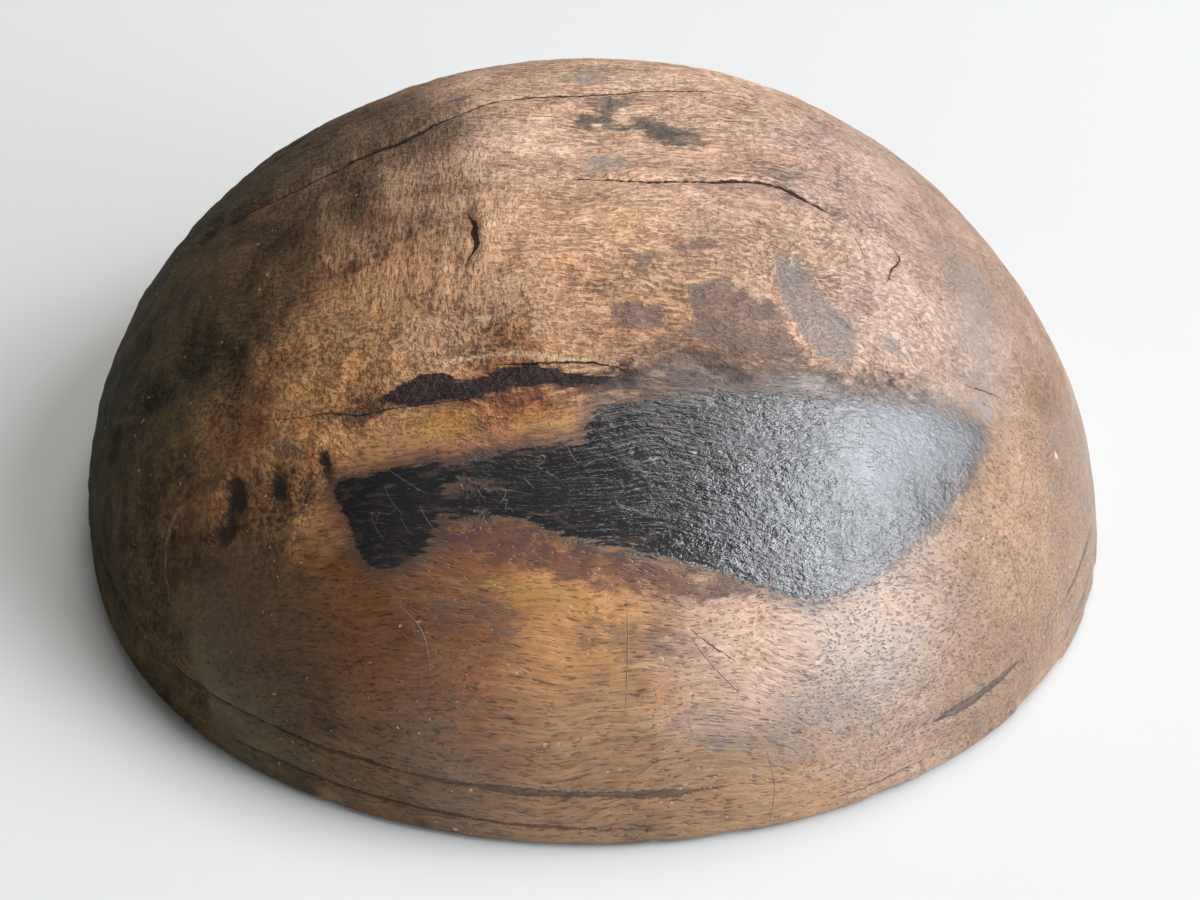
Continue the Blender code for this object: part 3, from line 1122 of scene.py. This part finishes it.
    def blackened(self, colour):
        """The black patina: brown where it is worn thin, with glints, and a painted sheen at +X."""
        thin = self.ramp(self.noise(self.bent, (9, 1.2, 1.2), 3, 0.65), 0.52, 0.68)
        worn = self.ramp(self.number("patina"), 8, 1) * thin
        black = self.mix(worn * 0.8, PATINA_BLACK, PATINA_WORN)
        fibres = self.ramp(self.noise(self.bent, (5.0, 0.5, 0.5), 3, 0.6), 0.55, 0.70)
        black = self.mix(fibres * self.blend(self.glossy, 0.25, 0.6), black, PATINA_FIBRE)
        shown = self.glints * self.blend(self.glossy, 0.10, 0.80) * (0.85 + 0.45 * self.mottle)
        black = self.mix(shown, black, PATINA_GLINT)
        # Painted sheen: the lamps' pale grey-blue reflection on the patina's +X end
        sheen_patch = self.ramp(self.number("sheen_patch") + self.mottle * 2.5, -9, 7, 0, 0.50)
        black = self.mix(sheen_patch, black, PATINA_SHEEN_GREY)
        halo = self.ramp(self.number("patina") + self.ragged * 1.4, -4.2, 0.4, 0, 0.82)
        colour = self.mix(halo * (1 - 0.6 * self.hazy), colour, PATINA_HALO)
        colour = self.mix(self.patina, colour, black)
        colour = self.mix(self.streak * 0.96, colour, STREAK_BLACK)
        return self.mix(self.scratches * self.blend(self.dark_side, 0.55, 0.40), colour, SCRATCH_PALE)

    def gloss(self):
        """The roughness and the strength of reflections."""
        roughness = self.blend(self.rough, 0.36, 0.80) + 0.05 * self.mottle + 0.05 * self.fine
        shiny = self.blend(self.hazy, 0.25, 0.34) + 0.05 * self.mottle
        roughness = self.blend(self.patina, roughness, shiny)
        roughness = self.blend(self.streak, roughness, 0.5)
        roughness = self.blend(self.cracks, roughness, 0.95)
        polished = self.ramp(self.dark_side, 0.95, 0.1, 0.20, 0.68)
        wet = polished * self.blend(self.glossy, 0.7, 1.5)
        return roughness, self.blend(self.patina, self.blend(self.rough, polished, 0.2), wet)

    def relief(self):
        """Fine heights in millimetres."""
        rough = self.rough
        height = rough * (0.13 * self.speck - 0.05 * self.gaps) + 0.012 * self.speck
        height = height + self.fine * self.blend(rough, 0.018, 0.030) - (1 - rough) * 0.10 * self.pores
        height = height - 0.9 * self.cracks - 0.25 * self.scratches - 0.35 * self.rings
        jumbled = self.moved(self.place, self.scaled(self.noise(self.place, 3, 2, output="Color"), 2.4))
        crinkle = self.noise(jumbled, (1.6, 0.9, 0.9), 3, 0.6) - 0.5
        crinkle = crinkle * (self.blend(self.glossy, 0.10, 0.36) - 0.12 * self.hazy)
        crust = crinkle + self.fine * 0.045 + self.glints * 0.04 + 0.08
        return self.blend(self.patina, height, crust)


def outside_material():
    wood = OutsideWood()
    colour = stained(wood, wood.weathered(wood.bare_wood()), wood.fine, wood.mottle)
    colour = wood.blackened(wood.marked(colour))
    roughness, specular = wood.gloss()
    normal = wood.bump(wood.relief())
    return wood.finish(colour, roughness, normal, **{"Specular IOR Level": specular})


def rim_material():
    """Worn end wood under the rim: pale high spots, grime in the fibres."""
    graph = Graph("worn_rim_wood")
    bent, fine, bands = wood_fibres(graph)
    grime = graph.ramp(graph.noise(bent, (6, 1.4, 1.4), 4, 0.65), 0.45, 0.68)
    mottle = graph.ramp(graph.noise(graph.place, 7, 3, 0.6), 0.35, 0.65, -1, 1)
    colour = graph.shaded(graph.colour("wood"), 1 + 0.16 * fine + 0.08 * bands + 0.12 * mottle)
    colour = graph.mix(grime * 0.65, colour, RIM_GRIME)
    colour = graph.mix(graph.number("chip") * 0.8, colour, FRESH_WOOD)
    normal = graph.bump(fine * 0.06 - grime * 0.08)
    return graph.finish(colour, 0.62 + 0.10 * grime, normal)


def inside_material():
    """The inside: oiled brown wood with tool marks, pores and a few dark spots."""
    graph = Graph("oiled_inner_wood")
    bent, fine, bands = wood_fibres(graph)
    mottle = graph.ramp(graph.noise(graph.place, 9, 4, 0.6), 0.35, 0.65, -1, 1)
    pores = graph.ramp(graph.noise(bent, (2.4, 0.40, 0.40), 1, 0.5), 0.60, 0.70)
    spots = graph.ramp(graph.noise(graph.place, 8, 3, 0.7), 0.66, 0.74)
    brightness = 1 + 0.14 * fine + 0.14 * bands + 0.14 * mottle - 0.35 * pores
    # Painted shade: darker in the hollows of the gouge marks, lighter on their ridges
    colour = graph.shaded(graph.colour("wood"), brightness + 0.25 * graph.number("relief_shade"))
    colour = graph.mix(spots * 0.6, colour, INNER_SPOT)
    normal = graph.bump(fine * 0.03 - pores * 0.10 + mottle * 0.03)
    return graph.finish(colour, 0.50 + 0.06 * mottle + 0.08 * spots, normal)


# ---------------- the mesh


def add_numbers(mesh, name, values):
    mesh.attributes.new(name, "FLOAT", "POINT").data.foreach_set("value", values.astype(np.float32))


def add_colours(mesh, name, values):
    rgba = np.concatenate([values, np.ones((len(values), 1))], 1).astype(np.float32)
    mesh.attributes.new(name, "FLOAT_COLOR", "POINT").data.foreach_set("color", rgba.ravel())


def spots_field(surface, spots):
    """1 inside the round spots, with a soft edge."""
    value = np.zeros(len(surface.place))
    for across, along, radius, *_ in spots:
        gap = np.hypot(surface.chart[:, 0] - across, surface.chart[:, 1] - along)
        value = np.maximum(value, 1 - smooth_step(0.45 * radius, 1.15 * radius, gap))
    return value


def store_features(mesh, surface, features, height):
    outer = wood_colour(surface)
    share = np.where(surface.zone == INSIDE, 1.0, 0.0)
    share = np.where(surface.zone == RIM, smooth_step(*UNDER_RIM, surface.distance) * 0.8, share)[:, None]
    add_colours(mesh, "wood", outer * (1 - share) + inner_colour(surface) * share)
    for name in ("rough", "upright", "grainy", "patina", "streak", "sheen_patch", "chip"):
        add_numbers(mesh, name, getattr(features, name))
    add_numbers(mesh, "dark_side", smooth_step(*DARK_SIDE, surface.chart[:, 0]))
    for name in ("crack", "flake", "scratch", "ring"):
        offset, width = getattr(features, name)
        add_numbers(mesh, name + "_offset", offset)
        add_numbers(mesh, name + "_width", width)
    for name, depth in features.stains.items():
        add_numbers(mesh, name, depth)
    add_numbers(mesh, "pit", spots_field(surface, PITS))
    add_numbers(mesh, "spot", spots_field(surface, BRIGHT_SPOTS))
    # Painted shade: hollows of the relief darken the colour and its ridges lighten it; outside, partly the
    # wood's own darker hollows
    marks = features.weathering / 0.3 + 1.1 * features.dunes
    marks = np.where(surface.zone == OUTSIDE, marks, height / 0.4)
    add_numbers(mesh, "relief_shade", np.clip(marks, -1, 1))


def face_zones(surface):
    """Which zone each triangle belongs to: the rim only if all its points do."""
    zones = surface.zone[np.array(surface.faces)]
    return np.where(zones.max(1) == INSIDE, INSIDE, np.where(zones.min(1) == RIM, RIM, OUTSIDE))


def placed(name, data):
    """A new object in the scene."""
    thing = bpy.data.objects.new(name, data)
    bpy.context.scene.collection.objects.link(thing)
    return thing


def make_bowl(mm):
    surface = Surface()
    features = Features(surface)
    places, height = add_relief(surface, features)
    mesh = bpy.data.meshes.new("weathered_bowl")
    mesh.from_pydata((places * mm).tolist(), [], surface.faces)
    mesh.shade_smooth()
    store_features(mesh, surface, features, height)
    for material in (outside_material(), rim_material(), inside_material()):
        mesh.materials.append(material)
    mesh.polygons.foreach_set("material_index", face_zones(surface).astype(np.int32))
    return placed("weathered_bowl", mesh)


# ---------------- camera, floor and light


def direction(azimuth, elevation):
    a, e = math.radians(azimuth), math.radians(elevation)
    return Vector((math.sin(a) * math.cos(e), -math.cos(a) * math.cos(e), math.sin(e)))


def make_camera(radius):
    data = bpy.data.cameras.new("camera")
    data.sensor_width = SENSOR_WIDTH
    data.lens = CAMERA_LENS
    data.clip_start, data.clip_end = 0.1 * radius, 100 * radius
    camera = placed("camera", data)
    place = (Vector(CAMERA_PIVOT) + direction(0, CAMERA_ELEVATION) * CAMERA_DISTANCE) * radius
    look = (Vector(CAMERA_AIM) * radius - place).to_track_quat("-Z", "Y").to_matrix().to_4x4()
    roll = Matrix.Rotation(math.radians(CAMERA_ROLL), 4, "Z")
    camera.matrix_world = Matrix.Translation(place) @ look @ roll
    bpy.context.scene.camera = camera


def area_light(name, radius):
    azimuth, elevation, size, power, colour = LIGHTS[name]
    data = bpy.data.lights.new(name, "AREA")
    data.shape = "RECTANGLE"
    data.size, data.size_y = size[0] * radius, size[1] * radius
    data.energy = power
    data.color = colour
    light = placed(name, data)
    place = direction(azimuth, elevation) * LIGHT_DISTANCE * radius
    light.matrix_world = Matrix.Translation(place) @ (-place).to_track_quat("-Z", "Y").to_matrix().to_4x4()


def glow_by(tree, measure, limits, target):
    """Lights the target socket by a measured distance or height, with a soft change."""
    glow = tree.nodes.new("ShaderNodeMapRange")
    glow.interpolation_type = "SMOOTHSTEP"
    for name, value in zip(("From Min", "From Max", "To Min", "To Max"), limits):
        glow.inputs[name].default_value = value
    tree.links.new(measure, glow.inputs["Value"])
    tree.links.new(glow.outputs["Result"], target)


def light_far_floor(tree, shader, radius):
    """A soft glow far from the bowl, where the lights don't reach, like a lit studio backdrop."""
    place = tree.nodes.new("ShaderNodeTexCoord")
    reach = tree.nodes.new("ShaderNodeVectorMath")
    reach.operation = "LENGTH"
    tree.links.new(place.outputs["Object"], reach.inputs[0])
    near, far, *strengths = FAR_GLOW
    limits = (near * radius, far * radius, *strengths)
    shader.inputs["Emission Color"].default_value = (1, 1, 1, 1)
    glow_by(tree, reach.outputs["Value"], limits, shader.inputs["Emission Strength"])


def make_floor(radius):
    half = FLOOR_REACH * radius
    corners = [(-half, -half, 0), (half, -half, 0), (half, half, 0), (-half, half, 0)]
    data = bpy.data.meshes.new("floor")
    data.from_pydata(corners, [], [(0, 1, 2, 3)])
    floor = placed("floor", data)
    floor.location.z = -FLOOR_DROP
    material = bpy.data.materials.new("pale_floor")
    material.use_nodes = True
    shader = material.node_tree.nodes["Principled BSDF"]
    shader.inputs["Base Color"].default_value = FLOOR_COLOUR
    shader.inputs["Roughness"].default_value = FLOOR_ROUGHNESS
    light_far_floor(material.node_tree, shader, radius)
    data.materials.append(material)


def make_sky():
    world = bpy.data.worlds.new("studio")
    world.use_nodes = True
    background = world.node_tree.nodes["Background"]
    background.inputs["Color"].default_value = (1, 1, 1, 1)
    way = world.node_tree.nodes.new("ShaderNodeTexCoord")
    parts = world.node_tree.nodes.new("ShaderNodeSeparateXYZ")
    world.node_tree.links.new(way.outputs["Generated"], parts.inputs[0])
    glow_by(world.node_tree, parts.outputs["Z"], HORIZON_GLOW, background.inputs["Strength"])
    bpy.context.scene.world = world
    bpy.context.scene.view_settings.view_transform = "Standard"


def main():
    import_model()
    low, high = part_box("bowl_body")
    mm = (high.z - low.z) / HEIGHT
    bowl = make_bowl(mm)
    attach(bowl, "root")
    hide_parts("bowl_body")
    radius = RIM_RADIUS * mm
    make_camera(radius)
    make_floor(radius)
    for name in LIGHTS:
        area_light(name, radius)
    make_sky()


main()
